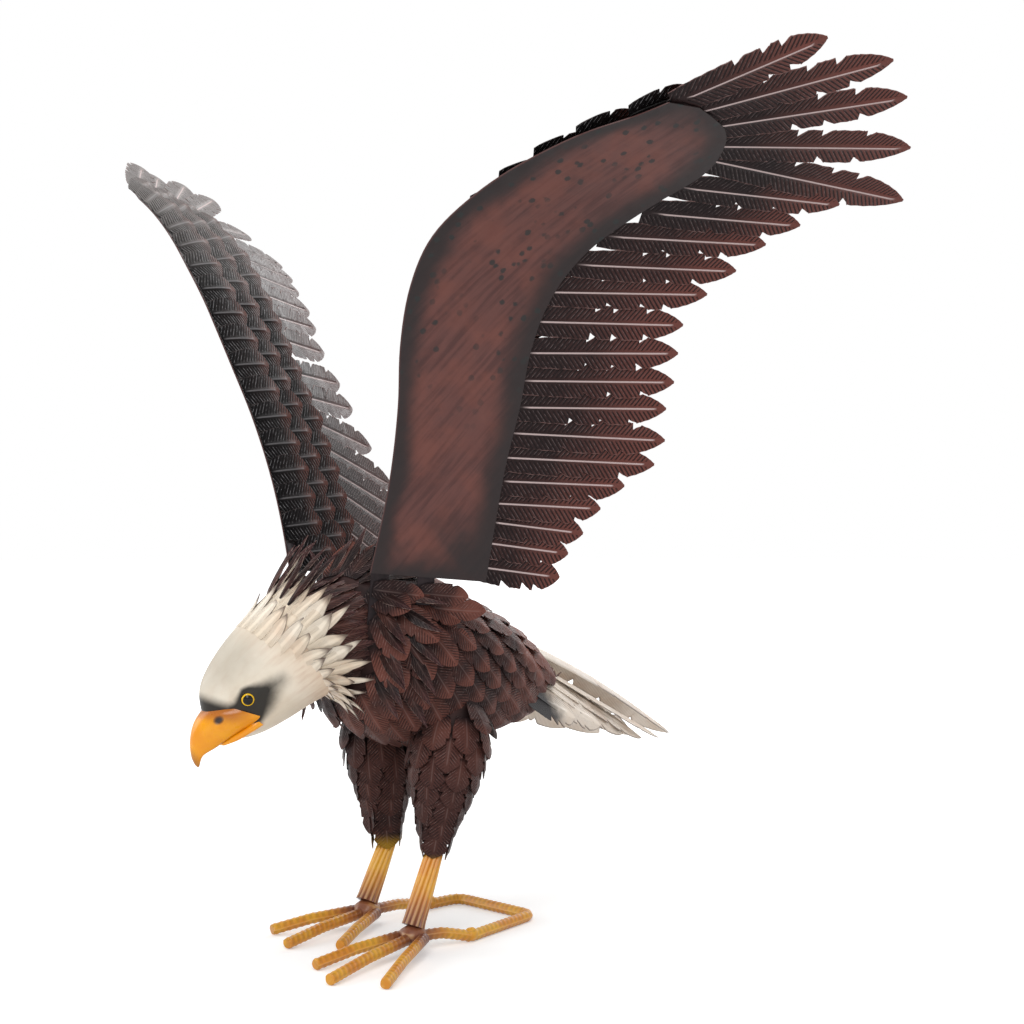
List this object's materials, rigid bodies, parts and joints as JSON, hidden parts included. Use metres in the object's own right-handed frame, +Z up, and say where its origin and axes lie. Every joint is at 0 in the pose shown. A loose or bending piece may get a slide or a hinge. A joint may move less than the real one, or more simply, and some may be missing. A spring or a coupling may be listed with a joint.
{
  "type": "metal eagle garden statue",
  "caption": "Free-standing painted sheet-metal eagle with raised wings, lowered turned head, roofed tail, fluted legs, and feet of ribbed bar joined by a ground loop.",
  "frame": {"origin": "on the ground plane under the middle of the body shell's width, below the front of the thighs", "axes": "+X to the bird's left, which is the way its wings spread; the bird faces -Y and its tail points to +Y; +Z up"},
  "size_m": [0.9075, 0.6198, 0.762],
  "materials": {
    "leg_paint": "satin ochre paint over steel, browner at the ankles",
    "plain_steel": "plain hidden steel",
    "wing_paint": "satin red-brown paint, darker at the edges",
    "flight_paint": "dark satin paint brushed over bare pewter-coloured sheet",
    "tail_paint": "cream paint with a dark base",
    "head_paint": "satin ivory paint",
    "beak_paint": "gloss yellow-orange paint",
    "eye_paint": "gloss black paint with a thin yellow ring",
    "shell_paint": "dark paint under the feathers",
    "plumage_paint": "satin red-brown paint clouded with black"
  },
  "bodies": {
    "root": {"ankle_weld_left": "leg_paint", "ankle_weld_right": "leg_paint", "back_feathers": "plumage_paint", "base_loop": "leg_paint", "beak_lower": "beak_paint", "beak_upper": "beak_paint", "belly_feathers": "plumage_paint", "body_shell_left": "shell_paint", "body_shell_right": "shell_paint", "breast_feathers": "plumage_paint", "collar_feathers": "head_paint", "coverts_front_left": "plumage_paint", "coverts_front_right": "plumage_paint", "coverts_middle_left": "plumage_paint", "coverts_middle_right": "plumage_paint", "coverts_rear_left": "plumage_paint", "coverts_rear_right": "plumage_paint", "eye_left": "eye_paint", "eye_right": "eye_paint", "flank_left_feathers": "plumage_paint", "flank_right_feathers": "plumage_paint", "hackle_feathers": "plumage_paint", "head_shell": "head_paint", "hind_bar_left": "leg_paint", "hind_bar_right": "leg_paint", "leg_rod_left": "plain_steel", "leg_rod_right": "plain_steel", "loop_weld_left": "leg_paint", "loop_weld_right": "leg_paint", "neck_tube": "plain_steel", "primaries_left": "flight_paint", "primaries_right": "flight_paint", "secondaries_left": "flight_paint", "secondaries_right": "flight_paint", "shank_left": "leg_paint", "shank_right": "leg_paint", "shoulder_feathers_left": "plumage_paint", "shoulder_feathers_right": "plumage_paint", "tail_centre_feather": "tail_paint", "tail_feathers_left": "tail_paint", "tail_feathers_right": "tail_paint", "thigh_feathers_left": "plumage_paint", "thigh_feathers_right": "plumage_paint", "thigh_shell_left": "shell_paint", "thigh_shell_right": "shell_paint", "toe_inner_left": "leg_paint", "toe_inner_right": "leg_paint", "toe_middle_left": "leg_paint", "toe_middle_right": "leg_paint", "toe_outer_left": "leg_paint", "toe_outer_right": "leg_paint", "wing_nuts_left": "plain_steel", "wing_nuts_right": "plain_steel", "wing_plate_left": "wing_paint", "wing_plate_right": "wing_paint", "wing_studs_left": "plain_steel", "wing_studs_right": "plain_steel", "wing_tabs_left": "plain_steel", "wing_tabs_right": "plain_steel"}
  },
  "joints": []
}
